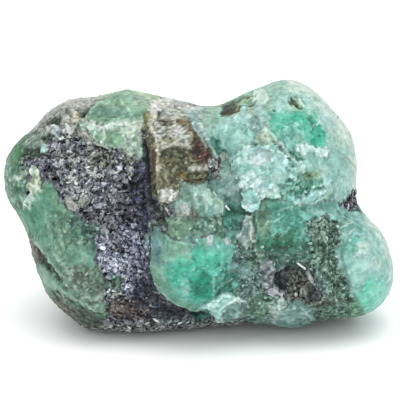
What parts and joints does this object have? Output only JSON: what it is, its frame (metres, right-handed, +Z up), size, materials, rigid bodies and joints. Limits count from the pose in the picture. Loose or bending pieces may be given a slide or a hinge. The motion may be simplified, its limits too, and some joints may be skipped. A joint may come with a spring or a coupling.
{
  "type": "raw emerald crystal in mica schist",
  "caption": "Worn lump of pale green emerald crystals grown together in dark mica schist, standing on a small flat worn into its lower edge.",
  "frame": {"origin": "middle of the footprint of the stone's box, on the ground it stands on", "axes": "+X along the long side of the stone, -Y towards the viewer of its broad face, +Z up"},
  "size_m": [0.0486, 0.0294, 0.0307],
  "materials": {
    "emerald": "worn, satin, granular pale to mid green",
    "mica_schist": "dark, granular, with bright mica flakes",
    "brown_crystal": "brown and olive, rough broken faces"
  },
  "bodies": {
    "root": {"raw_emerald": "emerald"}
  },
  "joints": []
}
